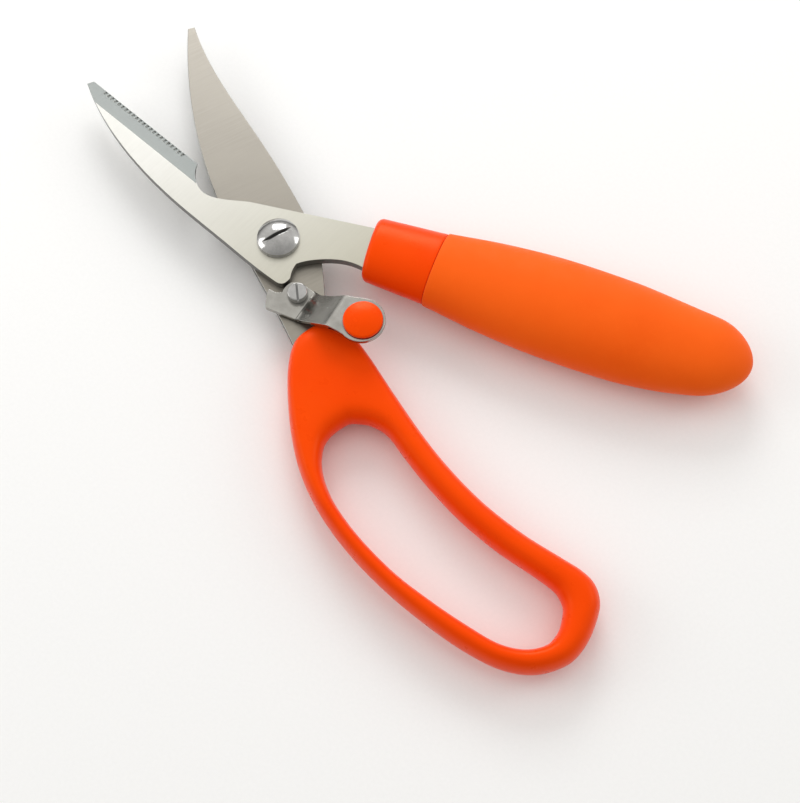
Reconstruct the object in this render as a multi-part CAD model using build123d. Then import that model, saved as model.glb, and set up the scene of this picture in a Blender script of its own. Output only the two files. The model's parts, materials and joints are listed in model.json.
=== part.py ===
from build123d import *

import math
import os

# Poultry shears with a finger loop, a soft bar handle and a thumb latch.
# Row frame: origin at the centre of the pivot nut's flat back face, +Z along
# the pivot towards the screw head, +X from the finger loop towards the tips.
# The rest pose is fully open. The front blade and the bar handle are drawn in
# the closed pose and turned by open_angle about the pivot. Millimetres, degrees.

# Overall sizes
blade_reach = 88.2  # pivot axis to the front blade's tip
loop_reach = 166.4  # pivot axis to the far end of the finger loop
bar_length = 126.7  # collar face to the far end of the bar handle
open_angle = 25.0  # travel of the front blade from closed to open

# Blades
blade_thickness = 3.0
blade_gap = 0.05  # running gap between the two blades' inner faces
edge_land = 0.25  # thickness left at each ground cutting edge
bevel_width = 6.4  # front blade, from the cutting edge to the bevel line
bevel_lead = 6.0  # the ground bevel runs out this far past both ends of the edge
rear_bevel_width = 5.0
rear_bevel_start = 20.0  # pivot axis to the start of the rear blade's bevel
heel_x = 39.1  # pivot-side end of the serrated edge
heel_y = -11.4
serration_pitch = 1.66
serration_count = 23
serration_start = 6.1  # along the edge, from the heel to the first groove
serration_inset = 0.25  # cutting edge to the start of each groove
serration_length = 1.45
serration_radius = 0.5
serration_depth = 0.3
lobe_x = -10.0  # corner of the front blade's latch lobe, before rounding
lobe_y = 13.5
lobe_rounding = 2.28
lobe_flat = 2.4  # end of the spine curve to the lobe's corner
recess_start = -5.0  # directions of the recess in the lobe, from the latch axis
recess_end = 27.0
recess_rounding = 1.0
tang_tail_width = 11.0  # hidden part of the front tang, inside the bar handle
tang_tail_length = 62.0
tang_tail_rounding = 2.0
rear_tail_end = 56.0  # pivot axis to the end of the rear tang, inside the neck
blade_edge_rounding = 0.2  # broken edges where a blade isn't ground

# Pivot fasteners
nut_radius = 6.5
nut_flange = 1.4
nut_boss_radius = 5.4
nut_boss_flat = 4.75  # pivot axis to each flat that keys the nut
nut_boss_recess = 0.2  # boss end below the rear blade's inner face
bush_radius = 4.5
shank_radius = 3.0
thread_radius = 2.5
running_clearance = 0.05  # radial, every turning fit
end_play = 0.05  # axial, every turning fit
washer_radius = 6.95
washer_thickness = 0.4
head_radius = 6.75
head_rim = 1.0
head_dome = 2.4
slot_width = 1.1
slot_depth = 1.5
slot_angle = 85.0
nut_chamfer = 0.3
cut_margin = 2.0  # how far cutting shapes reach past what they cut

# Hidden opening spring, an open ring of wire with an end peg in each blade
spring_radius = 7.2
spring_wire = 0.75
spring_clearance = 0.2
spring_sweep = 300.0
spring_start = 30.0
peg_length = 1.4

# Latch
latch_x = -19.9
latch_y = 5.6
latch_screw_head_radius = 3.15
latch_screw_head = 2.6
latch_head_rounding = 0.35
latch_slot_width = 0.7
latch_slot_depth = 0.9
latch_slot_angle = -28.0
slot_rounding = 0.2  # broken edges of the pivot screw's slot
latch_shoulder_radius = 2.0
latch_thread_radius = 1.5
latch_thread_proud = 0.2  # screw end past the nut
latch_nut_radius = 3.1
latch_nut_thickness = 1.3
latch_nut_chamfer = 0.4
latch_washer_radius = 3.5
latch_washer_thickness = 0.25
lever_thickness = 1.5
lever_direction = 205.0  # from the latch screw towards the thumb pad
lever_eye_radius = 4.1
lever_rise = 8.7  # height of the thumb end above the plate
ramp_start = 4.7  # latch axis to the foot of the ramp
ramp_end = 16.4
lever_low_side = 7.7
lever_shift = -0.7  # sideways place of the lever's round end
lever_end_distance = 24.7
lever_end_radius = 7.6
lever_bend_radius = 1.0
lever_rounding = 0.5
finger_reach = 9.75  # latch axis to the tip of the hook finger
finger_angle = 41.0  # direction of the finger tip with the latch off
finger_end = (0.45, -1.9)  # finger tip to the finger's lower corner
finger_root = 7.0  # latch axis to the notch between finger and shoulder
finger_root_angle = 47.5
lever_heel = (-6.65, -9.05)  # corner of the plate behind the finger
lever_waist = (2.6, 7.1)  # round end's centre to where the strip runs into it
lever_neck = 3.4  # half width at the foot of the ramp, pad side up
eye_join_angle = -60.0
shoulder_start = -5.0  # directions of the stop shoulder, from the latch axis
shoulder_end = 50.0
latch_play = 0.4  # finger tip to the recess in the front blade
stop_clearance = 0.3  # lever's shoulder to the lobe when the blades are open

# Thumb pad
pad_distance = 25.3  # latch axis to the pad's centre
pad_radius = 6.35
pad_rim = 1.3
pad_dome = 1.0
pad_stem_radius = 1.8
pad_head_radius = 2.6
pad_head = 0.5

# Handles
neck_start = 31.2  # pivot axis to the end face of the loop handle's neck
loop_thickness = 11.3
loop_rounding = 2.4
collar_x = -28.0  # centre of the collar's end face, closed pose
collar_y = -12.0
bar_direction = 189.6
collar_length = 21.7
collar_tilt = 5.0  # the collar's end face reaches further forward on its outer side
collar_lead = 0.85
collar_rounding = 2.2
grip_wall = 3.0
grip_proud = 0.35  # step from the collar up to the soft grip
grip_end_rounding = 2.0
core_end_wall = 14.7  # solid soft material past the end of the hard core

# Heights that follow from the stack
rear_back = nut_flange
mate = rear_back + blade_thickness
front_back = mate + blade_gap
front_face = front_back + blade_thickness
rear_middle = rear_back + blade_thickness / 2
front_middle = front_back + blade_thickness / 2
washer_bottom = front_face + end_play
head_bottom = washer_bottom + washer_thickness
core_length = bar_length - core_end_wall
lever_bottom = mate + latch_washer_thickness + end_play
lever_top = lever_bottom + lever_thickness
lever_turn = math.radians(lever_direction)
lever_plane = Plane(
    origin=(latch_x, latch_y, 0),
    x_dir=(math.cos(lever_turn), math.sin(lever_turn), 0),
    z_dir=(0, 0, 1),
)


def polar(centre, radius, angle):
    """The point at a radius and an angle about a centre in the XY plane."""
    turn = math.radians(angle)
    return (centre[0] + radius * math.cos(turn), centre[1] + radius * math.sin(turn))


def tube(radius, low, high, bore=0.0, centre=(0, 0)):
    """An upright cylinder or ring between two heights."""
    body = extrude(Pos(centre[0], centre[1], low) * Circle(radius), high - low)
    if bore:
        body -= extrude(Pos(centre[0], centre[1], low) * Circle(bore), high - low)
    return body


def prism(edges, low, high):
    """An outline in the XY plane as a solid between two heights."""
    return extrude(Pos(0, 0, low) * make_face(edges), high - low)


def upright_edge(body, place):
    """The body's upright edge at a place in the XY plane."""
    return min(body.edges().filter_by(Axis.Z), key=lambda e: math.dist((e.center().X, e.center().Y), place))


def spring_groove(low, high):
    """The ring-shaped pocket that one blade has for the opening spring."""
    room = spring_wire + spring_clearance
    return tube(spring_radius + room, low, high, spring_radius - room)


def peg_hole(angle, low, high):
    return tube(spring_wire + running_clearance, low, high, centre=polar((0, 0), spring_radius, angle))


def front_blade():
    """The serrated blade, its lobe and its tang, drawn closed."""
    latch = (latch_x, latch_y)
    tip_top = (blade_reach, -18.5)
    tip_low = (blade_reach - 1.0, -20.9)
    heel = (heel_x, heel_y)
    belly = (15.2, -6.9)
    entry_low = (-28.6, -19.9)
    entry_top = (-29.3, -4.8)
    lobe_top = (lobe_x + lobe_flat, lobe_y)
    lobe_corner = (lobe_x, lobe_y)
    recess = finger_reach + latch_play
    recess_top = polar(latch, recess, recess_end)
    recess_middle = polar(latch, recess, (recess_start + recess_end) / 2)
    recess_low = polar(latch, recess, recess_start)
    spine = Spline(
        tip_top,
        (0.838 * blade_reach, -8.9),
        (0.626 * blade_reach, -0.5),
        (36.0, 5.1),
        (15.9, 9.2),
        (-1.8, 12.7),
        lobe_top,
    )
    edges = [
        spine,
        Polyline(lobe_top, lobe_corner, recess_top),
        ThreePointArc(recess_top, recess_middle, recess_low),
        Spline(recess_low, (-11.6, 2.7), (-15.6, -0.4), (-20.0, -2.9), entry_top),
        Line(entry_top, entry_low),
        Line(entry_low, belly),
        Spline(belly, (20.7, -4.5), (25.6, -2.7), (30.8, -2.3), (34.9, -4.6), heel),
        Line(heel, tip_low),
        Line(tip_low, tip_top),
    ]
    blade = prism(edges, front_back, front_face)
    blade = fillet(upright_edge(blade, lobe_corner), lobe_rounding)
    blade = fillet(upright_edge(blade, recess_top), recess_rounding)
    blade += front_tail()
    blade -= bevel_cut(heel, tip_low)
    blade -= serrations(heel, tip_low)
    blade -= tube(bush_radius + running_clearance, front_back, front_face)
    blade -= spring_groove(front_back, front_back + spring_wire + spring_clearance)
    blade -= peg_hole(spring_start - open_angle, front_back, front_back + peg_length + spring_wire)
    return blade


def front_tail():
    """The narrow end of the front tang, inside the bar handle."""
    length = tang_tail_length
    tail = bar_plane(length / 2) * Box(tang_tail_width, blade_thickness, length)
    return fillet(tail.edges().filter_by(Axis.Z), tang_tail_rounding)


def bevel_cut(start, end):
    """The wedge ground off the front blade's outer face along its straight edge."""
    along = Vector(end[0] - start[0], end[1] - start[1], 0)
    side = Vector(-along.Y, along.X, 0).normalized()
    corner = Plane(origin=(start[0], start[1], front_back), x_dir=side, z_dir=along.normalized())
    section = Polyline(
        (-cut_margin, blade_thickness + cut_margin),
        (-cut_margin, edge_land),
        (0, edge_land),
        (bevel_width, blade_thickness),
        (bevel_width, blade_thickness + cut_margin),
        close=True,
    )
    return extrude(corner * Pos(0, 0, -bevel_lead) * make_face(section), along.length + 2 * bevel_lead)


def serrations(start, end):
    """The row of small grooves filed into the bevel beside the straight edge."""
    along = Vector(end[0] - start[0], end[1] - start[1], 0).normalized()
    side = Vector(-along.Y, along.X, 0)
    fall = Vector(0, 0, blade_thickness - edge_land)
    slope = (side * bevel_width + fall).normalized()
    out = along.cross(slope)
    edge = Vector(start[0], start[1], front_back + edge_land)
    cuts = []
    for index in range(serration_count):
        distance = serration_start + index * serration_pitch
        foot = edge + along * distance + slope * serration_inset + out * (serration_radius - serration_depth)
        cuts.append(extrude(Plane(origin=foot, x_dir=along, z_dir=slope) * Circle(serration_radius), serration_length))
    return cuts


def rear_blade():
    """The plain blade and its tang, in the row frame."""
    tip_top = (blade_reach - 0.6, -19.3)
    tip_low = (blade_reach - 1.4, -21.5)
    edge_start = (-1.4, 11.7)
    entry_top = (-35.2, 16.4)
    entry_low = (-34.0, 3.4)
    cutting_edge = ThreePointArc(tip_top, (0.545 * blade_reach, 1.1), edge_start)
    edges = [
        cutting_edge,
        Spline(edge_start, (-12.3, 13.0), entry_top),
        Polyline(
            entry_top,
            (-rear_tail_end, 17.0),
            (-rear_tail_end, 7.0),
            entry_low,
        ),
        Spline(
            entry_low,
            (-24.2, -1.8),
            (-14.0, -7.4),
            (-4.0, -11.2),
            (5.1, -12.8),
            (22.0, -14.8),
            (0.474 * blade_reach, -16.1),
            (0.757 * blade_reach, -17.6),
            tip_low,
        ),
        Line(tip_low, tip_top),
    ]
    blade = prism(edges, rear_back, mate)
    rims = [e for e in blade.edges() - blade.edges().filter_by(Axis.Z) if e.geom_type != GeomType.CIRCLE]
    blade = fillet(rims, blade_edge_rounding)
    blade -= rear_bevel(cutting_edge)
    blade -= nut_boss(rear_back, mate)
    blade -= spring_groove(mate - spring_wire - spring_clearance, mate)
    blade -= peg_hole(spring_start + spring_sweep, mate - peg_length - spring_wire, mate)
    blade -= tube(latch_thread_radius, rear_back, mate, centre=(latch_x, latch_y))
    return blade


def rear_bevel(cutting_edge):
    """The cone ground off the rear blade's back face along its curved edge."""
    centre = cutting_edge.arc_center
    radius = cutting_edge.radius
    high = mate - edge_land
    section = Polyline(
        (radius + cut_margin, rear_back - cut_margin),
        (radius + cut_margin, high),
        (radius, high),
        (radius - rear_bevel_width, rear_back),
        (radius - rear_bevel_width, rear_back - cut_margin),
        close=True,
    )
    ring = Pos(centre.X, centre.Y) * revolve(Plane.XZ * make_face(section), Axis.Z)
    keep = Pos(rear_bevel_start + blade_reach, 0, 0) * Box(2 * blade_reach, 2 * blade_reach, 4 * mate)
    return ring & keep


def nut_boss(low, high):
    """The keyed boss of the nut, also the shape of its hole in the rear blade."""
    flats = Box(4 * nut_boss_radius, 2 * nut_boss_flat, 4 * high)
    return tube(nut_boss_radius, low, high) & flats


def pivot_nut():
    nut = tube(nut_radius, 0, nut_flange)
    nut = chamfer(nut.edges().group_by(Axis.Z)[0], nut_chamfer)
    nut += nut_boss(nut_flange, mate - nut_boss_recess)
    nut -= tube(thread_radius, 0, mate)
    return nut


def pivot_bush():
    return tube(bush_radius, mate - nut_boss_recess, washer_bottom, shank_radius + running_clearance)


def pivot_washer():
    return tube(washer_radius, washer_bottom, head_bottom, shank_radius + running_clearance)


def pivot_screw():
    """Domed slotted screw whose shank passes the bush and threads into the nut."""
    rim_top = head_bottom + head_rim
    crown = rim_top + head_dome
    dome_radius = (head_radius**2 + head_dome**2) / (2 * head_dome)
    profile = make_face(
        [
            Polyline(
                (0, crown),
                (0, 0),
                (thread_radius, 0),
                (thread_radius, mate - nut_boss_recess),
                (shank_radius, mate - nut_boss_recess),
                (shank_radius, head_bottom),
                (head_radius, head_bottom),
                (head_radius, rim_top),
            ),
            RadiusArc((head_radius, rim_top), (0, crown), -dome_radius),
        ]
    )
    screw = revolve(Plane.XZ * profile, Axis.Z)
    slot = Box(3 * head_radius, slot_width, 2 * slot_depth)
    screw -= Pos(0, 0, crown) * Rot(0, 0, slot_angle) * slot
    lips = [e for e in screw.edges() if e.center().Z > rim_top + cut_margin / 2 and e.length > shank_radius]
    return fillet(lips, slot_rounding)


def opening_spring():
    """Open wire ring round the bush, one end peg up and one end peg down."""
    height = (mate + front_back) / 2
    ring = CenterArc((0, 0, height), spring_radius, spring_start, spring_sweep)
    start = polar((0, 0), spring_radius, spring_start)
    end = polar((0, 0), spring_radius, spring_start + spring_sweep)
    wire = sweep(Plane(origin=ring @ 0, z_dir=ring % 0) * Circle(spring_wire), ring)
    wire += tube(spring_wire, height, front_back + peg_length, centre=start)
    wire += tube(spring_wire, mate - peg_length, height, centre=end)
    wire += [Pos(p[0], p[1], height) * Sphere(spring_wire) for p in (start, end)]
    return wire


def latch_screw():
    centre = (latch_x, latch_y)
    head_low = lever_top + end_play
    head_high = head_low + latch_screw_head
    screw = tube(latch_screw_head_radius, head_low, head_high, centre=centre)
    screw = fillet(screw.edges().group_by(Axis.Z)[-1], latch_head_rounding)
    screw += tube(latch_shoulder_radius, mate, head_low, centre=centre)
    screw += tube(latch_thread_radius, rear_back - latch_nut_thickness - latch_thread_proud, mate, centre=centre)
    slot = Box(4 * latch_screw_head_radius, latch_slot_width, 2 * latch_slot_depth)
    return screw - Pos(centre[0], centre[1], head_high) * Rot(0, 0, latch_slot_angle) * slot


def latch_washer():
    bore = latch_shoulder_radius + running_clearance
    return tube(latch_washer_radius, mate, mate + latch_washer_thickness, bore, (latch_x, latch_y))


def latch_nut():
    low = rear_back - latch_nut_thickness
    nut = tube(latch_nut_radius, low, rear_back, centre=(latch_x, latch_y))
    nut = chamfer(nut.edges().group_by(Axis.Z)[0], latch_nut_chamfer)
    return nut - tube(latch_thread_radius, low, rear_back, centre=(latch_x, latch_y))


def lever_point(radius, direction):
    """A point about the latch axis, in the lever's own frame."""
    return polar((0, 0), radius, direction - lever_direction)


def lever_outline(stop_radius):
    """The lever's blank, seen from above, in its own frame: pad end along +X."""
    finger_tip = lever_point(finger_reach, finger_angle)
    waist_low = (lever_end_distance - lever_waist[0], lever_shift - lever_waist[1])
    waist_high = (lever_end_distance - lever_waist[0], lever_shift + lever_waist[1])
    foot_high = (ramp_start, lever_neck)
    edges = [
        Polyline(
            finger_tip,
            (finger_tip[0] + finger_end[0], finger_tip[1] + finger_end[1]),
            lever_heel,
            (ramp_start, -lever_low_side),
            (ramp_end, -lever_low_side),
            waist_low,
            waist_high,
        ),
        Spline(waist_high, (ramp_end + 2, 4.9), (ramp_end - 4, 3.3), (ramp_start + 4, 2.8), foot_high),
        Polyline(
            foot_high,
            lever_point(lever_eye_radius, eye_join_angle),
            (0, 0),
            lever_point(stop_radius, finger_root_angle),
            lever_point(finger_root, finger_root_angle),
            finger_tip,
        ),
    ]
    blank = make_face(edges)
    for corner in (finger_tip, lever_heel):
        blank = fillet(min(blank.vertices(), key=lambda v: math.dist((v.X, v.Y), corner)), lever_rounding)
    blank += Circle(lever_eye_radius)
    sides = [lever_point(3 * stop_radius, angle) for angle in (shoulder_start, shoulder_end)]
    sector = Polyline((0, 0), *sides, close=True)
    blank += Circle(stop_radius) & make_face(sector)
    blank += Pos(lever_end_distance, lever_shift) * Circle(lever_end_radius)
    return blank


def latch_lever(lobe):
    """A strip bent up over the handles, with a hook finger and a shoulder that stops the lobe."""
    stop_radius = lobe.distance_to(Vertex(latch_x, latch_y, front_middle)) - stop_clearance
    low = lever_bottom
    top = low + lever_rise
    slope = math.atan2(lever_rise, ramp_end - ramp_start)
    shift = lever_thickness * math.tan(slope / 2)
    near = -2 * finger_reach
    far = lever_end_distance + lever_end_radius + cut_margin
    side = Polyline(
        (near, low),
        (ramp_start, low),
        (ramp_end, top),
        (far, top),
        (far, top + lever_thickness),
        (ramp_end - shift, top + lever_thickness),
        (ramp_start - shift, low + lever_thickness),
        (near, low + lever_thickness),
        close=True,
    )
    width = 4 * lever_end_radius
    strip = extrude(Plane.XZ * make_face(side), width / 2, both=True)
    first = ramp_start - cut_margin
    last = ramp_end + cut_margin
    strip = fillet([e for e in strip.edges().filter_by(Axis.Y) if first < e.center().X < last], lever_bend_radius)
    blank = strip & extrude(lever_outline(stop_radius), far)
    blank -= tube(latch_shoulder_radius + running_clearance, 0, far)
    blank -= tube(pad_stem_radius, 0, far, centre=(pad_distance, lever_shift))
    return lever_plane * blank


def latch_pad():
    """Domed thumb button with a stem staked under the lever."""
    seat = lever_bottom + lever_rise + lever_thickness
    under = seat - lever_thickness
    crown = seat + pad_rim + pad_dome
    dome_radius = (pad_radius**2 + pad_dome**2) / (2 * pad_dome)
    pad = tube(pad_radius, seat, crown) & Pos(0, 0, crown - dome_radius) * Sphere(dome_radius)
    pad += tube(pad_stem_radius, under, seat)
    pad += tube(pad_head_radius, under - pad_head, under)
    return lever_plane * Pos(pad_distance, lever_shift) * pad


def loop_handle():
    """Moulded neck and finger loop, with room for the rear tang."""

    def at(share, y):
        return (-(neck_start + share * (loop_reach - neck_start)), y)

    outer = Spline(
        at(0.0, 8.0),
        at(0.03, 17.0),
        at(0.145, 29.4),
        at(0.302, 38.0),
        at(0.509, 39.6),
        at(0.743, 33.2),
        at(0.922, 22.6),
        at(1.0, 6.0),
        at(0.965, -6.8),
        at(0.893, -14.0),
        at(0.800, -11.4),
        at(0.600, -2.9),
        at(0.395, -0.1),
        at(0.130, -1.0),
        at(0.03, 0.2),
        periodic=True,
    )
    inner = Spline(
        at(0.245, 17.6),
        at(0.252, 25.0),
        at(0.306, 31.6),
        at(0.404, 34.9),
        at(0.553, 33.9),
        at(0.717, 28.3),
        at(0.868, 20.2),
        at(0.942, 8.4),
        at(0.908, -1.6),
        at(0.849, -4.1),
        at(0.693, 2.4),
        at(0.494, 7.4),
        at(0.331, 8.0),
        at(0.270, 11.2),
        periodic=True,
    )
    low = rear_middle - loop_thickness / 2
    handle = extrude(Pos(0, 0, low) * (make_face(outer) - make_face(inner)), loop_thickness)
    rims = handle.edges().group_by(Axis.Z)
    return fillet([*rims[0], *rims[-1]], loop_rounding)


def bar_plane(distance, shift=0.0):
    """A plane across the bar handle: X across its width, Z along its length."""
    turn = math.radians(bar_direction)
    along = Vector(math.cos(turn), math.sin(turn), 0)
    across = Vector(-along.Y, along.X, 0)
    centre = Vector(collar_x, collar_y, front_middle) + along * distance + across * shift
    return Plane(origin=centre, x_dir=across, z_dir=along)


# Bar sections: place along the length as a share from the collar's rear edge
# to the far end, sideways shift, half width and half thickness.
grip_sections = [
    (0.0, 0.8, 13.0, 7.25),
    (0.17, 0.8, 15.5, 8.5),
    (0.365, 0.8, 17.1, 9.75),
    (0.555, 0.6, 17.1, 10.0),
    (0.745, 0.8, 15.6, 9.0),
    (0.87, 1.6, 13.0, 7.6),
    (0.95, 2.2, 9.6, 5.8),
    (1.0, 2.3, 5.2, 3.4),
]
collar_sections = [
    (0.0, 0.4, 11.0, 6.2),
    (0.5, 0.6, 12.0, 6.6),
]


def bar_body(wall, far_end):
    """The grip's shape, made thinner by a wall and cut off square at a place along the bar."""
    span = bar_length - collar_length
    faces = []
    for share, shift, width, thick in grip_sections:
        place = collar_length + share * span
        faces.append(bar_plane(place, shift) * Ellipse(width - wall, thick - wall))
        if place >= far_end:
            break
    return split(loft(faces), bisect_by=bar_plane(far_end), keep=Keep.BOTTOM)


def handle_core():
    """Hard collar and the core that carries the soft grip."""
    start, middle = collar_sections
    seam = grip_sections[0]
    collar = loft(
        [
            bar_plane(-collar_lead, start[1]) * Rot(0, collar_tilt, 0) * Ellipse(start[2], start[3]),
            bar_plane(collar_length * middle[0], middle[1]) * Ellipse(middle[2], middle[3]),
            bar_plane(collar_length, seam[1]) * Ellipse(seam[2] - grip_proud, seam[3] - grip_proud),
        ]
    )
    collar = fillet(collar.edges().sort_by(Axis.X)[-1], collar_rounding)
    return collar + bar_body(grip_wall, core_length)


def soft_grip():
    """Soft sleeve with a closed, rounded end."""
    grip = bar_body(0.0, bar_length + cut_margin)
    grip = fillet(grip.edges().sort_by(Axis.X)[0], grip_end_rounding)
    return grip - bar_body(grip_wall, core_length)


def build():
    to_open = Rot(0, 0, open_angle)
    front = front_blade()
    rear = rear_blade()
    parts = {
        "front_blade": to_open * front,
        "rear_blade": rear,
        "pivot_screw": pivot_screw(),
        "pivot_washer": pivot_washer(),
        "pivot_bush": pivot_bush(),
        "pivot_nut": pivot_nut(),
        "opening_spring": opening_spring(),
        "latch_lever": latch_lever(to_open * front),
        "latch_pad": latch_pad(),
        "latch_screw": latch_screw(),
        "latch_washer": latch_washer(),
        "latch_nut": latch_nut(),
        "loop_handle": loop_handle() - rear,
        "handle_core": to_open * (handle_core() - front),
        "soft_grip": to_open * soft_grip(),
    }
    os.makedirs("parts", exist_ok=True)
    for name, shape in parts.items():
        export_step(shape, f"parts/{name}.step")


build()
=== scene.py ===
import json
import math

import bmesh
import bpy
from mathutils import Matrix, Vector


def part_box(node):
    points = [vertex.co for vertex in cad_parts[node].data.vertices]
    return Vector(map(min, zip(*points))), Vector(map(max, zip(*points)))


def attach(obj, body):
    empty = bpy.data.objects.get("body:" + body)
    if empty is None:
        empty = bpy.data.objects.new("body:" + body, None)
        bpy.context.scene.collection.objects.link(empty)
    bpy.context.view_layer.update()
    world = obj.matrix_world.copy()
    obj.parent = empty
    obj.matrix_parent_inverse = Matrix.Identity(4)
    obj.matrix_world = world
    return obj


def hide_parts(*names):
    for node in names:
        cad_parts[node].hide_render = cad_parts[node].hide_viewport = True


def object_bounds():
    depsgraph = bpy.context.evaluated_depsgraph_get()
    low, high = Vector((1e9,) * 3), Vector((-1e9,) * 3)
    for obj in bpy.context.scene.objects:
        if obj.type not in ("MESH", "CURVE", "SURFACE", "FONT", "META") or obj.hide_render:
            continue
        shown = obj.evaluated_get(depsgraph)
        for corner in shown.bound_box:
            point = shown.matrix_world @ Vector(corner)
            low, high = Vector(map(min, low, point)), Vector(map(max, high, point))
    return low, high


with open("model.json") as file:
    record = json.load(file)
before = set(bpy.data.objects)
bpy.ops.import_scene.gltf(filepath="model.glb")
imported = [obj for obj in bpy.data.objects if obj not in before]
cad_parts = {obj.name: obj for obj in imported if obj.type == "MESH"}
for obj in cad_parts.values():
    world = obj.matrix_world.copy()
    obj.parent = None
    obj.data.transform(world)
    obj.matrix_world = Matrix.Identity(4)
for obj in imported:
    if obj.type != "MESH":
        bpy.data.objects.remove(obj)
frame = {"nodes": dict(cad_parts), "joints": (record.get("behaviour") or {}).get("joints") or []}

CAD_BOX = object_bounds()
MM = 0.001
NODES = frame["nodes"]
JOINTS = {joint["name"]: joint for joint in frame["joints"]}
OPEN_ANGLE = math.radians(JOINTS["blade_pivot"]["range_deg"][1])


# ---------------------------------------------------------------- camera

CAMERA_PLACE = Vector((-0.2692, 0.1165, 0.5495))  # m
CAMERA_LENS = 85.0
CAMERA_PITCH = math.radians(23.0)  # lean of the view away from straight down
CAMERA_YAW = math.radians(2.0)  # lean of the view to one side
X_IN_VIEW = math.radians(125.0)  # direction of the row's +X in the picture


def view_axes():
    """Right, up and towards-the-viewer directions of the camera, in the row frame."""
    right = Vector((math.cos(X_IN_VIEW), -math.sin(X_IN_VIEW), 0.0))
    up = Vector((-right.y, right.x, 0.0))
    lean = math.cos(CAMERA_PITCH)
    back = Vector((0, 0, lean * math.cos(CAMERA_YAW))) - up * math.sin(CAMERA_PITCH)
    back = (back + right * math.sin(CAMERA_YAW) * lean).normalized()
    right = (right - back * right.dot(back)).normalized()
    return right, back.cross(right), back


def make_camera():
    right, up, back = view_axes()
    data = bpy.data.cameras.new("camera")
    data.lens = CAMERA_LENS
    data.clip_start = 0.01
    data.clip_end = 20.0
    camera = bpy.data.objects.new("camera", data)
    bpy.context.scene.collection.objects.link(camera)
    turn = Matrix((right, up, back)).transposed().to_4x4()
    camera.matrix_world = Matrix.Translation(CAMERA_PLACE) @ turn
    bpy.context.scene.camera = camera


# ---------------------------------------------------------------- materials

# Sockets of a Mix node that mixes colours.
MIX_FACTOR, MIX_FIRST, MIX_SECOND = 0, 6, 7
MIX_COLOUR = 2
# Share of open sky over a spot, for painted shade: fully shaded at the first, not shaded at the
# second.
SHADED_SKY = (0.2, 0.75)
# How squarely a blade's face points up or down, where painted shade on the side walls gives way
# to the bevel tone, and that to the flat finish.
SIDE_SHADE_FACING = (0.2, 0.45)
BEVEL_FACING = (0.5, 0.7)
FLAT_FACING = (0.93, 0.985)
TANG_FADE = (-0.03, 0.05)  # X in m over which the tang's shade fades out


def set_range(node, start, end, low, high):
    """Makes a Map Range node go from low to high as its value goes from start to end."""
    ends = {"From Min": start, "From Max": end, "To Min": low, "To Max": high}
    for name, value in ends.items():
        node.inputs[name].default_value = value


def scaled(colour, share):
    return [share * c for c in colour]


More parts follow.
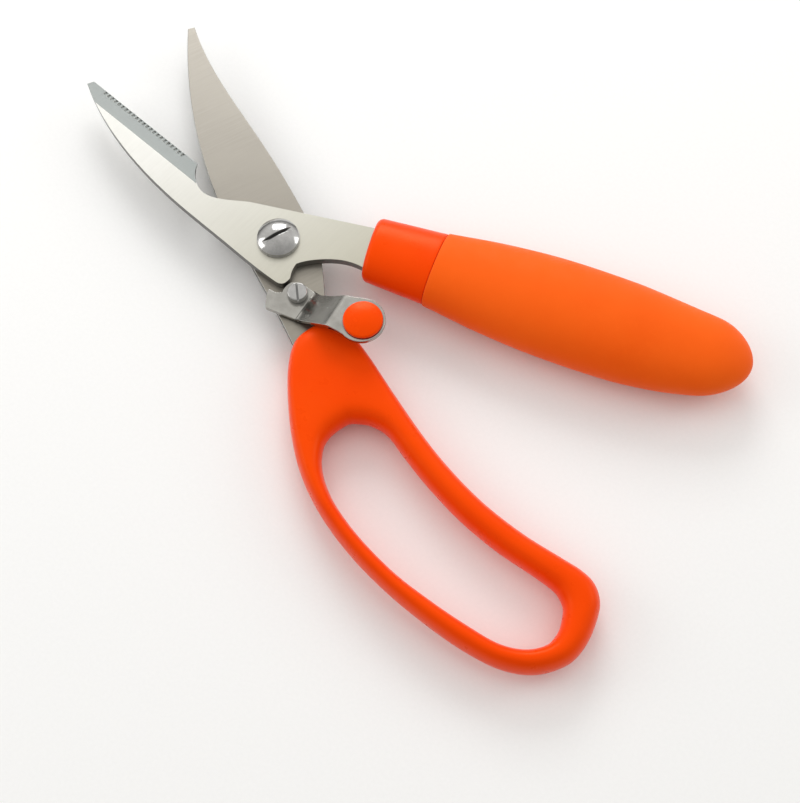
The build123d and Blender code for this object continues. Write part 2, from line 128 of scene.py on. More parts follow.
class Shader:
    """A material's node tree with short calls for the nodes used here."""

    def __init__(self, name, **values):
        self.material = bpy.data.materials.new(name)
        self.material.use_nodes = True
        self.tree = self.material.node_tree
        self.bsdf = self.tree.nodes["Principled BSDF"]
        for socket, value in values.items():
            self.bsdf.inputs[socket].default_value = value
        coordinates = self.tree.nodes.new("ShaderNodeTexCoord")
        self.place = coordinates.outputs["Object"]
        self.facing = coordinates.outputs["Normal"]

    def add(self, kind, **settings):
        node = self.tree.nodes.new(kind)
        for key, value in settings.items():
            setattr(node, key, value)
        return node

    def join(self, output, socket):
        self.tree.links.new(output, socket)

    def stretched(self, turn, across, along, depth):
        """Coordinates turned about Z and scaled, for lines that run one way."""
        spin = self.add("ShaderNodeMapping")
        spin.inputs["Rotation"].default_value = (0, 0, -turn)
        self.join(self.place, spin.inputs["Vector"])
        scale = self.add("ShaderNodeMapping")
        scale.inputs["Scale"].default_value = (along, across, depth)
        self.join(spin.outputs["Vector"], scale.inputs["Vector"])
        return scale.outputs["Vector"]

    def noise(self, scale, detail, rough, place=None):
        node = self.add("ShaderNodeTexNoise")
        node.inputs["Scale"].default_value = scale
        node.inputs["Detail"].default_value = detail
        node.inputs["Roughness"].default_value = rough
        self.join(place or self.place, node.inputs["Vector"])
        return node.outputs["Fac"]

    def lines(self, detail, rough, turn, across, along, depth):
        """Noise drawn out into lines; across, along and depth are its scales in each way."""
        return self.noise(1.0, detail, rough, self.stretched(turn, across, along, depth))

    def ramp(self, factor, *stops):
        node = self.add("ShaderNodeValToRGB")
        for element, (position, colour) in zip(self.elements(node, len(stops)), stops):
            element.position = position
            element.color = (*colour, 1.0)
        self.join(factor, node.inputs["Fac"])
        return node.outputs["Color"]

    @staticmethod
    def elements(node, count):
        """The colour ramp's stops, after more are added to reach the count."""
        elements = node.color_ramp.elements
        while len(elements) < count:
            elements.new(0.5)
        return elements

    def between(self, factor, low, high, start=0.3, end=0.7):
        """A number from low to high as factor goes from start to end."""
        node = self.add("ShaderNodeMapRange")
        set_range(node, start, end, low, high)
        self.join(factor, node.inputs["Value"])
        return node.outputs["Result"]

    def axis(self, output, name):
        """One axis of a direction or a place."""
        node = self.add("ShaderNodeSeparateXYZ")
        self.join(output, node.inputs[0])
        return node.outputs[name]

    def mix(self, factor, first, second, blend_type="MIX"):
        """Two colours blended; the second is an output or a plain colour."""
        node = self.add("ShaderNodeMix", data_type="RGBA", blend_type=blend_type)
        self.join(factor, node.inputs[MIX_FACTOR])
        self.join(first, node.inputs[MIX_FIRST])
        if isinstance(second, tuple):
            node.inputs[MIX_SECOND].default_value = (*second, 1.0)
        else:
            self.join(second, node.inputs[MIX_SECOND])
        return node.outputs[MIX_COLOUR]

    def maths(self, operation, *values):
        node = self.add("ShaderNodeMath", operation=operation)
        for socket, value in zip(node.inputs, values):
            self.join(value, socket)
        return node.outputs["Value"]

    def bump(self, height, depth, strength, under=None):
        """Surface relief, depth in m; it may lie on top of another relief."""
        node = self.add("ShaderNodeBump")
        node.inputs["Strength"].default_value = strength
        node.inputs["Distance"].default_value = depth
        self.join(height, node.inputs["Height"])
        if under:
            self.join(under, node.inputs["Normal"])
        return node.outputs["Normal"]

    def shaded(self, colour, reach, dark):
        """The colour darkened with painted shade in grooves and corners, looked for within reach
        in m.
        """
        node = self.add("ShaderNodeAmbientOcclusion", samples=8)
        node.inputs["Distance"].default_value = reach
        hidden = self.between(node.outputs["AO"], 1.0, 0.0, *SHADED_SKY)
        return self.mix(hidden, colour, (dark, dark, dark), "MULTIPLY")

    def finish(self, colour, rough, normal):
        for output, name in ((colour, "Base Color"), (rough, "Roughness"), (normal, "Normal")):
            if output:
                self.join(output, self.bsdf.inputs[name])
        return self.material


def ground_steel(name, dark, light, rough_low, rough_high, turn, bevel_tone_and_shade, tang_shade):
    """Stainless steel ground one way, with a bevel tone that is part finer grind and part
    painted shade, painted shade on the side walls and in grooves, and darker towards the tang.
    """
    shader = Shader(name, Metallic=1.0)
    lines = shader.lines(2.0, 0.6, turn, across=7000.0, along=140.0, depth=900.0)
    long_lines = shader.lines(1.0, 0.5, turn, across=1500.0, along=60.0, depth=300.0)
    cloud = shader.noise(45.0, detail=3.0, rough=0.55)
    middle = [0.5 * (a + b) for a, b in zip(dark, light)]
    flat = shader.mix(
        shader.between(cloud, 0.0, 1.0),
        shader.ramp(long_lines, (0.2, dark), (0.8, light)),
        shader.ramp(lines, (0.25, middle), (0.75, light)),
    )
    on_tang = shader.between(shader.axis(shader.place, "X"), 1.0, 0.0, *TANG_FADE)
    flat = shader.mix(on_tang, flat, tang_shade, "MULTIPLY")
    upright = shader.axis(shader.facing, "Z")
    facing = shader.maths("ABSOLUTE", upright)
    on_bevel = shader.maths(
        "MULTIPLY",
        shader.between(facing, 1.0, 0.0, *FLAT_FACING),
        shader.between(facing, 0.0, 1.0, *BEVEL_FACING),
    )
    # The bevel's tone is part its finer grind and part painted shade where it faces away from
    # the light.
    bevel = shader.ramp(lines, (0.2, scaled(bevel_tone_and_shade, 0.82)), (0.8, bevel_tone_and_shade))
    colour = shader.mix(on_bevel, flat, bevel)
    # Painted shade on the side walls, which point sideways and get little light.
    painted_side_shade = shader.ramp(lines, (0.3, scaled(dark, 0.26)), (0.7, scaled(dark, 0.34)))
    side_shade_mask = shader.between(facing, 1.0, 0.0, *SIDE_SHADE_FACING)
    colour = shader.mix(side_shade_mask, colour, painted_side_shade)
    # Painted shade in grooves and corners.
    colour = shader.shaded(colour, reach=0.0012, dark=0.55)
    rough = shader.between(lines, rough_low, rough_high, start=0.25, end=0.75)
    return shader.finish(colour, rough, shader.bump(lines, depth=0.00002, strength=0.35))


def polished_steel(name, dark, light, rough_low, rough_high, scratched):
    """Buffed stainless steel: a faint haze and fine scratches that run one way."""
    shader = Shader(name, Metallic=1.0)
    haze = shader.noise(220.0, detail=4.0, rough=0.6)
    scratches = shader.lines(3.0, 0.7, turn=0.7, across=2600.0, along=160.0, depth=2600.0)
    colour = shader.ramp(haze, (0.3, dark), (0.7, light))
    # Painted shade in the slots, grooves and corners.
    colour = shader.shaded(colour, reach=0.0016, dark=0.12)
    rough = shader.between(haze, rough_low, rough_high)
    normal = shader.bump(scratches, depth=0.00001, strength=scratched)
    return shader.finish(colour, rough, normal)


def turned_steel(name, colour, rough):
    """Plain machined steel with fine turning lines."""
    shader = Shader(name, Metallic=1.0)
    lines = shader.lines(2.0, 0.5, turn=0.0, across=600.0, along=600.0, depth=6000.0)
    base = shader.ramp(lines, (0.3, scaled(colour, 0.75)), (0.7, colour))
    roughness = shader.between(lines, rough * 0.8, rough * 1.25)
    return shader.finish(base, roughness, shader.bump(lines, depth=0.00003, strength=0.4))


def moulded_plastic(name, deep, main, warm, rough, shine, grain, grain_depth):
    """Moulded plastic with a fine moulded grain over faint flow lines."""
    shader = Shader(name)
    shader.bsdf.inputs["Specular IOR Level"].default_value = shine
    shader.bsdf.inputs["Specular Tint"].default_value = (1.0, 0.33, 0.06, 1.0)
    cloud = shader.noise(28.0, detail=3.0, rough=0.5)
    fleck = shader.noise(420.0, detail=3.0, rough=0.6)
    base = shader.ramp(cloud, (0.28, deep), (0.5, main), (0.72, warm))
    speck = shader.ramp(fleck, (0.35, scaled(main, 0.93)), (0.65, main))
    colour = shader.mix(shader.between(fleck, 0.0, 0.5, start=0.35, end=0.75), base, speck)
    fine = shader.noise(grain, detail=4.0, rough=0.65)
    flow = shader.lines(2.0, 0.5, turn=0.6, across=240.0, along=40.0, depth=240.0)
    grained = shader.bump(fine, grain_depth, strength=0.4)
    normal = shader.bump(flow, depth=0.00002, strength=0.25, under=grained)
    patches = shader.noise(160.0, detail=4.0, rough=0.6)
    roughness = shader.between(patches, rough * 0.85, rough * 1.2)
    return shader.finish(colour, roughness, normal)


def make_materials():
    made = {
        "front": ground_steel(
            "front_blade_steel",
            dark=(0.69, 0.685, 0.65),
            light=(0.74, 0.735, 0.70),
            rough_low=0.3,
            rough_high=0.4,
            turn=OPEN_ANGLE + math.radians(78.0),
            # The dark bevel tone here is mostly painted shade.
            bevel_tone_and_shade=(0.175, 0.186, 0.18),
            tang_shade=(0.64, 0.62, 0.53),
        ),
        "rear": ground_steel(
            "rear_blade_steel",
            dark=(0.325, 0.305, 0.27),
            light=(0.385, 0.36, 0.32),
            rough_low=0.3,
            rough_high=0.42,
            turn=math.radians(84.0),
            bevel_tone_and_shade=(0.4, 0.4, 0.38),
            tang_shade=(0.80, 0.79, 0.76),
        ),
        "polished": polished_steel(
            "polished_steel",
            dark=(0.36, 0.355, 0.345),
            light=(0.5, 0.495, 0.485),
            rough_low=0.08,
            rough_high=0.18,
            scratched=0.12,
        ),
        "lever": polished_steel(
            "lever_steel",
            dark=(0.33, 0.32, 0.295),
            light=(0.43, 0.42, 0.39),
            rough_low=0.16,
            rough_high=0.28,
            scratched=0.2,
        ),
        "plain": turned_steel("turned_steel", (0.6, 0.59, 0.56), rough=0.3),
        "spring": turned_steel("spring_wire_steel", (0.42, 0.42, 0.41), rough=0.35),
        "loop": moulded_plastic(
            "moulded_orange",
            deep=(0.88, 0.05, 0.001),
            main=(0.92, 0.06, 0.0015),
            warm=(0.94, 0.07, 0.002),
            rough=0.3,
            shine=0.3,
            grain=900.0,
            grain_depth=0.00003,
        ),
        "pad": moulded_plastic(
            "pad_orange",
            deep=(0.9, 0.055, 0.001),
            main=(0.93, 0.065, 0.0015),
            warm=(0.94, 0.072, 0.002),
            rough=0.26,
            shine=0.35,
            grain=1200.0,
            grain_depth=0.00002,
        ),
        "grip": moulded_plastic(
            "soft_touch_orange",
            deep=(0.9, 0.105, 0.006),
            main=(0.93, 0.12, 0.008),
            warm=(0.95, 0.135, 0.01),
            rough=0.52,
            shine=0.2,
            grain=2600.0,
            grain_depth=0.00005,
        ),
    }
    soft = made["grip"].node_tree.nodes["Principled BSDF"]
    soft.inputs["Sheen Weight"].default_value = 0.05
    soft.inputs["Sheen Roughness"].default_value = 0.5
    return made


# ---------------------------------------------------------------- mesh helpers

MERGE_DISTANCE = 1e-7  # m
PAD_POINTS = 72
BAR_POINTS = 72
LOOP_POINTS = 40


def mesh_piece(name, verts, faces, material, body, replaces, levels):
    """A smooth mesh piece that rides on a body and stands for CAD nodes."""
    mesh = bpy.data.meshes.new(name)
    mesh.from_pydata([tuple(v) for v in verts], [], faces)
    tidy = bmesh.new()
    tidy.from_mesh(mesh)
    bmesh.ops.remove_doubles(tidy, verts=tidy.verts, dist=MERGE_DISTANCE)
    bmesh.ops.recalc_face_normals(tidy, faces=tidy.faces)
    tidy.to_mesh(mesh)
    tidy.free()
    piece = bpy.data.objects.new(name, mesh)
    bpy.context.scene.collection.objects.link(piece)
    mesh.materials.append(material)
    mesh.shade_smooth()
    if levels:
        smooth = piece.modifiers.new("smooth", "SUBSURF")
        smooth.levels = levels
        smooth.render_levels = levels
    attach(piece, body)
    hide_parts(*replaces)


def tube_faces(rings, count, closed):
    """Quads between rings of count points each, joined end to end if closed."""
    faces = []
    for i in range(rings if closed else rings - 1):
        a, b = i * count, (i + 1) % rings * count
        faces += [(a + j, a + (j + 1) % count, b + (j + 1) % count, b + j) for j in range(count)]
    return faces


def swollen(wave, power):
    """A sine or cosine raised to a power with its sign kept, for squarer sections."""
    return math.copysign(abs(wave) ** power, wave)


def catmull_rom(a, b, c, d, t):
    """The value a share t of the way from b to c, with a before them and d after."""
    square = 2 * a - 5 * b + 4 * c - d
    cube = 3 * b - a - 3 * c + d
    return 0.5 * (2 * b + (c - a) * t + square * t**2 + cube * t**3)


def closed_curve(points, steps):
    """Points on a closed smooth curve through the given tuples."""
    count = len(points)
    made = []
    for i in range(count):
        nearby = [points[(i + k) % count] for k in (-1, 0, 1, 2)]
        for k in range(steps):
            made.append(tuple(catmull_rom(*values, k / steps) for values in zip(*nearby)))
    return made


def along_knots(knots, place):
    """The value at a place, smoothly between (place, value) knots."""
    if place <= knots[0][0]:
        return knots[0][1]
    for (x0, y0), (x1, y1) in zip(knots, knots[1:]):
        if place <= x1:
            break
    else:
        return knots[-1][1]
    i = knots.index((x0, y0))
    before = knots[max(i - 1, 0)]
    after = knots[min(i + 2, len(knots) - 1)]
    slope0 = (y1 - before[1]) / (x1 - before[0])
    slope1 = (after[1] - y0) / (after[0] - x0)
    h = x1 - x0
    t = (place - x0) / h
    return (
        (2 * t**3 - 3 * t**2 + 1) * y0
        + (t**3 - 2 * t**2 + t) * h * slope0
        + (3 * t**2 - 2 * t**3) * y1
        + (t**3 - t**2) * h * slope1
    )


# ---------------------------------------------------------------- loop handle

LOOP_ROUNDING = 2.2  # section exponent where the band is narrow; 2 is an ellipse
LOOP_FLATTEN = 0.42  # what the exponent gains per mm of half width beyond LOOP_NARROW
LOOP_NARROW = 5.0  # mm
LOOP_STEPS = 6  # rings from one station to the next
LOOP_SMOOTHING = 1  # subdivision levels
# Stations round the loop in mm: outer x, outer y, inner x, inner y.
LOOP_STATIONS = [
    (-31.2, 8.0, -64.9, 17.2),
    (-32.4, 15.2, -65.0, 21.4),
    (-39.5, 22.4, -66.0, 25.0),
    (-50.9, 29.5, -68.2, 28.0),
    (-62.0, 34.9, -72.6, 31.2),
    (-72.6, 38.4, -78.6, 33.5),
    (-85.0, 40.2, -86.6, 34.8),
    (-100.0, 40.0, -99.2, 34.5),
    (-116.0, 37.6, -114.4, 32.1),
    (-131.4, 33.6, -128.8, 27.7),
    (-144.8, 28.9, -140.8, 23.2),
    (-156.0, 23.0, -149.6, 19.2),
    (-163.2, 15.4, -155.4, 14.0),
    (-166.2, 6.0, -158.0, 8.0),
    (-164.9, -1.4, -156.9, 3.0),
    (-161.2, -8.0, -154.4, -0.4),
    (-156.8, -13.0, -151.6, -2.9),
    (-151.4, -15.2, -148.4, -3.9),
    (-145.8, -14.6, -144.6, -3.8),
    (-138.6, -11.8, -137.0, -1.4),
    (-126.5, -7.0, -124.6, 3.0),
    (-112.2, -3.0, -110.6, 6.3),
    (-98.0, -0.9, -96.6, 8.0),
    (-84.0, -0.2, -84.6, 8.5),
    (-66.0, -0.7, -75.2, 8.6),
    (-49.0, -1.5, -69.6, 10.9),
    (-38.0, -0.9, -66.6, 13.8),
    (-32.4, 2.2, -65.3, 15.6),
]


def loop_handle(material):
    """Neck and finger loop: a soft section swept round the hole, wide and flat at the neck."""
    low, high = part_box("loop_handle")
    middle = (low.z + high.z) / 2
    half_height = (high.z - low.z) / 2
    stations = closed_curve(LOOP_STATIONS, LOOP_STEPS)
    verts = []
    for ox, oy, ix, iy in stations:
        outer = Vector((ox, oy, 0)) * MM
        inner = Vector((ix, iy, 0)) * MM
        centre = (outer + inner) / 2
        half = (outer - inner) / 2
        half_width = half.length / MM
        power = LOOP_ROUNDING + LOOP_FLATTEN * max(half_width - LOOP_NARROW, 0.0)
        for k in range(LOOP_POINTS):
            angle = 2 * math.pi * k / LOOP_POINTS
            reach = swollen(math.cos(angle), 2 / power)
            rise = middle + half_height * math.sin(angle)
            verts.append(centre + half * reach + Vector((0, 0, rise)))
    faces = tube_faces(len(stations), LOOP_POINTS, True)
    mesh_piece(
        "loop_handle_skin",
        verts,
        faces,
        material,
        "rear_half",
        ["loop_handle"],
        LOOP_SMOOTHING,
    )


# ---------------------------------------------------------------- bar handle

BAR_START = Vector((-28.0, -12.0, 0.0)) * MM  # collar face with the blades closed
BAR_DIRECTION = math.radians(189.6)
BAR_LENGTH = 126.6  # all sizes along and across the bar are in mm
BAR_CLOSE = 112.0  # where the bar starts to close towards its round end
BAR_END_SHAPE = 2.4  # exponent of the round end; 2 is an ellipse
BAR_ROUNDING = 0.94  # section power; 1 is an ellipse, less is squarer
BAR_LEAST = 0.02  # least half width and half thickness of a ring
# Along the bar: half width, half thickness and sideways shift of its middle.
BAR_WIDTH = [(-2.0, 10.9), (10.8, 12.1), (21.7, 13.1), (40.0, 15.6), (60.0, 17.1), (84.0, 17.0)]
BAR_WIDTH += [(96.0, 16.0), (105.0, 14.8), (114.0, 13.2), (127.0, 10.0)]
BAR_THICK = [(-2.0, 6.2), (10.8, 6.7), (21.7, 7.25), (40.0, 8.6), (60.0, 9.7), (84.0, 10.0)]
BAR_THICK += [(96.0, 9.3), (105.0, 8.6), (114.0, 7.7), (127.0, 5.9)]
BAR_SHIFT = [(-2.0, 0.4), (10.8, 0.6), (21.7, 0.8), (60.0, 0.8), (84.0, 0.65)]
BAR_SHIFT += [(96.0, 0.7), (105.0, 1.0), (114.0, 1.7), (121.0, 2.1), (127.0, 2.3)]

COLLAR_LENGTH = 21.7
COLLAR_TILT = math.tan(math.radians(5.0))  # lean of the collar's front face
COLLAR_EDGE = 2.2  # rounding of the collar's front edge
COLLAR_TAPER = 0.3  # how far the collar draws in towards the groove
COLLAR_LIP = 0.5  # length of the lip at the groove
COLLAR_FACE = [(0.0, 9.0), (0.0, 6.0)]  # place and inset of the rings on its front face
COLLAR_GROOVE = [(0.25, 0.36), (0.12, 0.5), (0.1, 0.9), (0.1, 4.0)]  # back from the end, inset
COLLAR_EDGE_STEPS = 8
COLLAR_STEPS = 16
GRIP_EDGE = 0.55  # rounding of the grip's edge at the groove
GRIP_FACE = [(COLLAR_LENGTH, 4.0), (COLLAR_LENGTH, 1.2)]  # place and inset inside the groove
GRIP_EDGE_STEPS = 6
GRIP_STEPS = 46
GRIP_END_STEPS = 48


def bar_ring(place, inset):
    """Points round the bar at a place along it, drawn in by an inset, with the blades open."""
    turn = BAR_DIRECTION + OPEN_ANGLE
    along = Vector((math.cos(turn), math.sin(turn), 0))
    across = Vector((-along.y, along.x, 0))
    low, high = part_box("front_blade")
    start = Matrix.Rotation(OPEN_ANGLE, 4, "Z") @ BAR_START
    start.z = (low.z + high.z) / 2
    far = max(place - BAR_CLOSE, 0.0) / (BAR_LENGTH - BAR_CLOSE)
    closing = max(1 - far**BAR_END_SHAPE, 0.0) ** 0.5
    width = along_knots(BAR_WIDTH, place) * closing - inset
    thick = along_knots(BAR_THICK, place) * closing - inset
    shift = along_knots(BAR_SHIFT, place)
    lean = COLLAR_TILT * max(1 - max(place, 0) / COLLAR_LENGTH, 0.0)
    ring = []
    for k in range(BAR_POINTS):
        angle = 2 * math.pi * k / BAR_POINTS
        side = max(width, BAR_LEAST) * swollen(math.cos(angle), BAR_ROUNDING)
        rise = max(thick, BAR_LEAST) * swollen(math.sin(angle), BAR_ROUNDING)
        step = place - lean * (side + width)
        spot = start + along * step * MM + across * (side + shift) * MM
        ring.append(spot + Vector((0, 0, rise * MM)))
    return ring


def bar_skin(name, stations, material, replaces):
    """A closed skin through the rings at (place, inset) stations."""
    rings = [bar_ring(place, inset) for place, inset in stations]
    verts = [point for ring in rings for point in ring]
    faces = tube_faces(len(rings), BAR_POINTS, False)
    faces.append(tuple(range(BAR_POINTS))[::-1])
    faces.append(tuple(range(len(verts) - BAR_POINTS, len(verts))))
    mesh_piece(name, verts, faces, material, "front_half", [replaces], 0)


def rounded_edge(start, radius, steps):
    """Stations that round an edge over, from an inset of the radius to none."""
    made = []
    for k in range(steps + 1):
        angle = math.pi / 2 * k / steps
        made.append((start + radius * (1 - math.cos(angle)), radius * (1 - math.sin(angle))))
    return made


def bar_handle(hard, soft):
    """The glossy collar and the soft grip, with a fine parting groove between them."""
    collar = COLLAR_FACE + rounded_edge(0.0, COLLAR_EDGE, COLLAR_EDGE_STEPS)
    side = COLLAR_LENGTH - COLLAR_LIP - COLLAR_EDGE
    for k in range(1, COLLAR_STEPS + 1):
        place = COLLAR_EDGE + k * side / COLLAR_STEPS
        collar.append((place, COLLAR_TAPER * k / COLLAR_STEPS))
    collar += [(COLLAR_LENGTH - back, inset) for back, inset in COLLAR_GROOVE]
    bar_skin("bar_collar", collar, hard, "handle_core")

    grip = GRIP_FACE + rounded_edge(COLLAR_LENGTH, GRIP_EDGE, GRIP_EDGE_STEPS)
    first = COLLAR_LENGTH + GRIP_EDGE
    for k in range(1, GRIP_STEPS + 1):
        grip.append((first + (BAR_CLOSE - first) * k / GRIP_STEPS, 0.0))
    for k in range(1, GRIP_END_STEPS):
        far = math.sin(math.pi / 2 * k / GRIP_END_STEPS)
        grip.append((BAR_CLOSE + (BAR_LENGTH - BAR_CLOSE) * far, 0.0))
    bar_skin("bar_grip", grip, soft, "soft_grip")


# ---------------------------------------------------------------- latch

# The lever's own frame is about the latch axis: along the lever, then sideways, in mm.
LATCH = Vector(JOINTS["latch_pivot"]["pos_m"])
LEVER_DIRECTION = math.radians(205.0)
LEVER_THICKNESS = 1.5
LEVER_END = (24.7, -0.7)  # centre of the round end under the pad
LEVER_END_RADIUS = 7.6
LEVER_END_START = (-2.6, 7.1)  # way from that centre to where the round end starts
LEVER_END_STEPS = 40
LEVER_SIDE = -7.7  # straight outer side of the ramp
LEVER_RAMP = (4.7, 16.4)  # where the strip bends up and where it bends level again
LEVER_BEND = 0.5  # softness of the two bends
LEVER_STOP = 5.15  # radius of the stop shoulder
LEVER_BORE = 2.05  # radius of the hole for the latch screw
LEVER_EDGE = 0.22  # width of the broken edges
LEVER_CUTS = 58  # cross lines that let the strip bend
LEVER_CUT_LEAD = 2.4  # how far before the ramp they start
LEVER_CUT_STEP = 0.3
CORNER_STEPS = 5
CORNER_SHARE = 0.45  # most of an edge that one corner's rounding takes up


def about_latch(radius, direction):
    """A point at a radius and a direction in the row frame, given in the lever's frame."""
    turn = math.radians(direction) - LEVER_DIRECTION
    return (radius * math.cos(turn), radius * math.sin(turn))


def arc(centre, radius, start, end, steps):
    """Points on an arc between two angles in degrees."""
    spread = [math.radians(start + (end - start) * k / steps) for k in range(steps + 1)]
    return [(centre[0] + radius * math.cos(a), centre[1] + radius * math.sin(a)) for a in spread]


def rounded(corners):
    """The closed polygon of (point, radius) corners, each rounded by its own radius."""
    made = []
    count = len(corners)
    for i, (point, radius) in enumerate(corners):
        corner = Vector(point)
        back = Vector(corners[i - 1][0]) - corner
        ahead = Vector(corners[(i + 1) % count][0]) - corner
        if radius <= 0:
            made.append(tuple(corner))
            continue
        reach = radius / math.tan(back.angle(ahead) / 2)
        reach = min(reach, CORNER_SHARE * back.length, CORNER_SHARE * ahead.length)
        first = corner + back.normalized() * reach
        last = corner + ahead.normalized() * reach
        for k in range(CORNER_STEPS + 1):
            t = k / CORNER_STEPS
            made.append(tuple(first * (1 - t) ** 2 + corner * 2 * t * (1 - t) + last * t**2))
    return made


def lever_outline():
    """The flat strip: hook finger, straight side, round end, waist and stop shoulder."""
    tip = about_latch(9.75, 41.0)
    ramp_start, ramp_end = LEVER_RAMP
    end_turn = math.degrees(math.atan2(LEVER_END_START[1], LEVER_END_START[0]))
    end = arc(LEVER_END, LEVER_END_RADIUS, -end_turn, end_turn, LEVER_END_STEPS)
    finger = [
        (tip, 0.5),
        ((tip[0] + 0.45, tip[1] - 1.9), 0.8),
        ((-6.65, -9.05), 0.9),
    ]
    side = [((ramp_start, LEVER_SIDE), 5.0), ((ramp_end, LEVER_SIDE), 6.0)]
    waist = [
        ((ramp_end + 2.0, 4.9), 4.0),
        ((ramp_end - 4.0, 3.3), 6.0),
        ((ramp_start + 4.0, 2.8), 6.0),
        ((ramp_start, 3.4), 3.0),
    ]
    heel = [
        (about_latch(4.1, -60.0), 1.5),
        (about_latch(4.6, -30.0), 1.5),
    ]
    stop = [
        (about_latch(LEVER_STOP, -5.0), 1.5),
        (about_latch(LEVER_STOP, 12.0), 2.0),
        (about_latch(LEVER_STOP, 30.0), 2.0),
        (about_latch(LEVER_STOP, 44.0), 0.4),
    ]
    finger_root = [(about_latch(7.0, 47.5), 0.4)]
    round_end = [(point, 0.0) for point in end]
    return rounded(finger + side + round_end + waist + heel + stop + finger_root)


def lever_height(place):
    """Height of the lever's underside above its low end, in mm, with soft bends."""
    low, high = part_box("latch_lever")
    rise = (high.z - low.z) / MM - LEVER_THICKNESS
    ramp_start, ramp_end = LEVER_RAMP

    def kink(x):
        return 0.5 * (x + math.sqrt(x * x + LEVER_BEND * LEVER_BEND))

    slope = rise / (ramp_end - ramp_start)
    return slope * (kink(place - ramp_start) - kink(place - ramp_end))


def latch_lever(material):
    """The bent strip with its hook finger, cut from a flat outline and bent."""
    low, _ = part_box("latch_lever")
    sheet = bmesh.new()
    bore = arc((0, 0), LEVER_BORE, 0, 350, 35)
    for loop in (lever_outline(), bore):
        made = [sheet.verts.new((x, y, 0)) for x, y in loop]
        for a, b in zip(made, made[1:] + made[:1]):
            sheet.edges.new((a, b))
    bmesh.ops.triangle_fill(sheet, use_beauty=True, use_dissolve=True, edges=sheet.edges[:])
    for k in range(LEVER_CUTS):
        place = LEVER_RAMP[0] - LEVER_CUT_LEAD + LEVER_CUT_STEP * k
        whole = sheet.verts[:] + sheet.edges[:] + sheet.faces[:]
        bmesh.ops.bisect_plane(sheet, geom=whole, plane_co=(place, 0, 0), plane_no=(1, 0, 0))
    turn = Matrix.Rotation(LEVER_DIRECTION, 4, "Z")
    half = LEVER_THICKNESS / 2
    for vert in sheet.verts:
        x, y, _ = vert.co
        place = turn @ (Vector((x, y, 0)) * MM)
        height = low.z + (lever_height(x) + half) * MM
        vert.co = (LATCH.x + place.x, LATCH.y + place.y, height)
    bmesh.ops.recalc_face_normals(sheet, faces=sheet.faces)
    mesh = bpy.data.meshes.new("latch_lever_strip")
    sheet.to_mesh(mesh)
    sheet.free()
    piece = bpy.data.objects.new("latch_lever_strip", mesh)
    bpy.context.scene.collection.objects.link(piece)
    mesh.materials.append(material)
    mesh.shade_smooth()
    solid = piece.modifiers.new("thickness", "SOLIDIFY")
    solid.thickness = LEVER_THICKNESS * MM
    solid.offset = 0.0
    solid.use_even_offset = True
    bevel = piece.modifiers.new("edges", "BEVEL")
    bevel.width = LEVER_EDGE * MM
    bevel.segments = 3
    bevel.limit_method = "ANGLE"
    bevel.angle_limit = math.radians(50)
    bevel.use_clamp_overlap = False
    bevel.harden_normals = True
    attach(piece, "latch")
    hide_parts("latch_lever")


PAD_PLACE = (25.3, -0.7)
PAD_RADIUS = 6.35
PAD_RIM = 0.75  # rounding of the rim
PAD_RIM_TURN = math.radians(78.0)  # how far round the rim goes before the crown starts
PAD_RIM_STEPS = 6
PAD_CROWN = 1.0  # height of the crown above the rim's highest possible point
PAD_CROWN_STEPS = 10
# Radius and height of the stake head above its foot.
PAD_HEAD = [(0.0, 0.0), (1.6, 0.0), (2.3, 0.08), (2.6, 0.3), (2.6, 0.5), (1.8, 0.52)]
# Radius and height of the stem and the pad's underside above the strip.
PAD_STEM = [(1.8, -0.1), (1.9, 0.02)]
PAD_UNDERSIDE = [(PAD_RADIUS - 0.35, 0.02), (PAD_RADIUS - 0.12, 0.08), (PAD_RADIUS, 0.3)]


def pad_profile():
    """Radius and height in mm from the foot of the stake head up to the crown."""
    low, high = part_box("latch_pad")
    _, lever_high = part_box("latch_lever")
    foot = low.z / MM
    seat = lever_high.z / MM
    top = high.z / MM
    profile = [(radius, foot + height) for radius, height in PAD_HEAD]
    profile += [(radius, seat + height) for radius, height in PAD_STEM + PAD_UNDERSIDE]
    rim_foot = top - PAD_CROWN - PAD_RIM
    profile.append((PAD_RADIUS, rim_foot))
    for k in range(1, PAD_RIM_STEPS + 1):
        angle = PAD_RIM_TURN * k / PAD_RIM_STEPS
        inset = PAD_RIM * (1 - math.cos(angle))
        profile.append((PAD_RADIUS - inset, rim_foot + PAD_RIM * math.sin(angle)))
    edge_radius, edge_height = profile[-1]
    for k in range(1, PAD_CROWN_STEPS + 1):
        share = 1 - k / PAD_CROWN_STEPS
        profile.append((edge_radius * share, top - (top - edge_height) * share**2))
    return profile


def thumb_pad(material):
    """Domed button: soft rim, shallow crown, stem and stake head below."""
    offset = Vector((*PAD_PLACE, 0)) * MM
    centre = LATCH + Matrix.Rotation(LEVER_DIRECTION, 3, "Z") @ offset
    profile = pad_profile()
    verts = []
    for radius, height in profile:
        for k in range(PAD_POINTS):
            angle = 2 * math.pi * k / PAD_POINTS
            x = centre.x + radius * MM * math.cos(angle)
            y = centre.y + radius * MM * math.sin(angle)
            verts.append((x, y, height * MM))
    faces = tube_faces(len(profile), PAD_POINTS, False)
    mesh_piece("thumb_pad", verts, faces, material, "latch", ["latch_pad"], 0)


# ---------------------------------------------------------------- CAD nodes


def dress(node, material):
    """Gives a carried-over CAD node its material."""
    piece = NODES[node]
    piece.data.materials.clear()
    piece.data.materials.append(material)


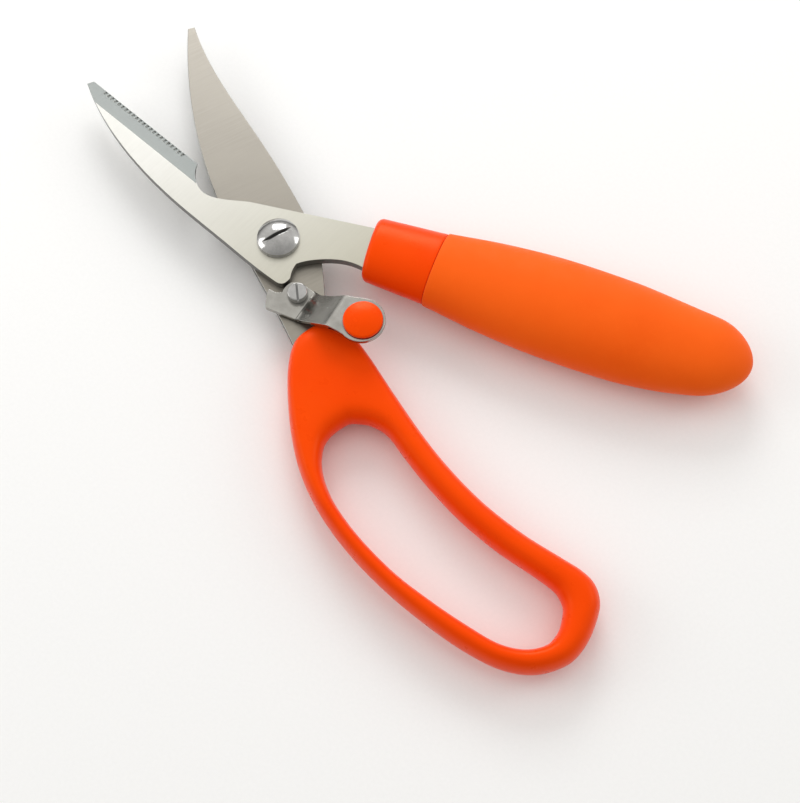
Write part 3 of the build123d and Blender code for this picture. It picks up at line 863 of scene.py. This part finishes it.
def dress_nodes(steel):
    dress("front_blade", steel["front"])
    dress("rear_blade", steel["rear"])
    for node in ("pivot_screw", "latch_screw", "pivot_nut"):
        dress(node, steel["polished"])
    for node in ("pivot_washer", "pivot_bush", "latch_washer", "latch_nut"):
        dress(node, steel["plain"])
    dress("opening_spring", steel["spring"])


# ---------------------------------------------------------------- studio

LIGHT_DISTANCE = 0.8  # m from the middle of the object
FLOOR_SIZE = 30.0
FLOOR_GAP = 0.0002  # m between the object's lowest point and the floor
SKY_COLOUR = (1.0, 0.99, 0.97, 1)


def area_light(name, direction, size, power):
    """A rectangular softbox that faces the object from a direction in the view."""
    right, up, _ = view_axes()
    flat_up = Vector((up.x, up.y, 0)).normalized()
    flat_right = Vector((right.x, right.y, 0)).normalized()
    aim = (CAD_BOX[0] + CAD_BOX[1]) / 2
    way = flat_right * direction[0] + flat_up * direction[1] + Vector((0, 0, direction[2]))
    way = way.normalized()
    data = bpy.data.lights.new(name, "AREA")
    data.shape = "RECTANGLE"
    data.size, data.size_y = size
    data.energy = power
    light = bpy.data.objects.new(name, data)
    bpy.context.scene.collection.objects.link(light)
    light.location = aim + way * LIGHT_DISTANCE
    light.rotation_mode = "QUATERNION"
    light.rotation_quaternion = (-way).to_track_quat("-Z", "Y")


def paint_sky(tree):
    """Bright overhead, dark at the horizon and dimmer towards the picture's foot."""
    add = tree.nodes.new
    join = tree.links.new
    _, up, _ = view_axes()
    way = add("ShaderNodeTexCoord").outputs["Generated"]
    # Direction, where its brightening starts and ends, and how dim it is before that.
    above_horizon = ((0, 0, 1), 0.03, 0.3, 0.16)
    up_the_picture = ((up.x, up.y, 0), -0.8, 0.3, 0.45)
    shares = []
    for axis, start, end, dim in (above_horizon, up_the_picture):
        along = add("ShaderNodeVectorMath")
        along.operation = "DOT_PRODUCT"
        along.inputs[1].default_value = axis
        join(way, along.inputs[0])
        level = add("ShaderNodeMapRange")
        set_range(level, start, end, dim, 1.0)
        join(along.outputs["Value"], level.inputs["Value"])
        shares.append(level.outputs["Result"])
    both = add("ShaderNodeMath")
    both.operation = "MULTIPLY"
    join(shares[0], both.inputs[0])
    join(shares[1], both.inputs[1])
    sky = tree.nodes["Background"]
    sky.inputs["Color"].default_value = SKY_COLOUR
    join(both.outputs["Value"], sky.inputs["Strength"])


def studio():
    scene = bpy.context.scene
    scene.view_settings.view_transform = "Standard"
    world = bpy.data.worlds.new("studio")
    world.use_nodes = True
    paint_sky(world.node_tree)
    scene.world = world
    area_light("key_above", direction=(-0.15, 1.6, 1.0), size=(0.45, 0.3), power=2.4)
    area_light("side_left", direction=(-1.0, 0.1, 0.5), size=(0.4, 0.3), power=0.9)
    area_light("side_right", direction=(1.0, 0.3, 0.5), size=(0.3, 0.3), power=0.6)
    shader = Shader("paper_floor", Roughness=0.9)
    fibre = shader.noise(900.0, detail=3.0, rough=0.6)
    colour = shader.ramp(fibre, (0.3, (0.9, 0.9, 0.895)), (0.7, (0.92, 0.92, 0.915)))
    relief = shader.bump(fibre, depth=0.00005, strength=0.2)
    material = shader.finish(colour, None, relief)
    bpy.ops.mesh.primitive_plane_add(size=FLOOR_SIZE, location=(0, 0, CAD_BOX[0].z - FLOOR_GAP))
    floor = bpy.context.object
    floor.name = "floor"
    floor.data.materials.append(material)


make_camera()
materials = make_materials()
dress_nodes(materials)
loop_handle(materials["loop"])
bar_handle(materials["loop"], materials["grip"])
latch_lever(materials["lever"])
thumb_pad(materials["pad"])
studio()
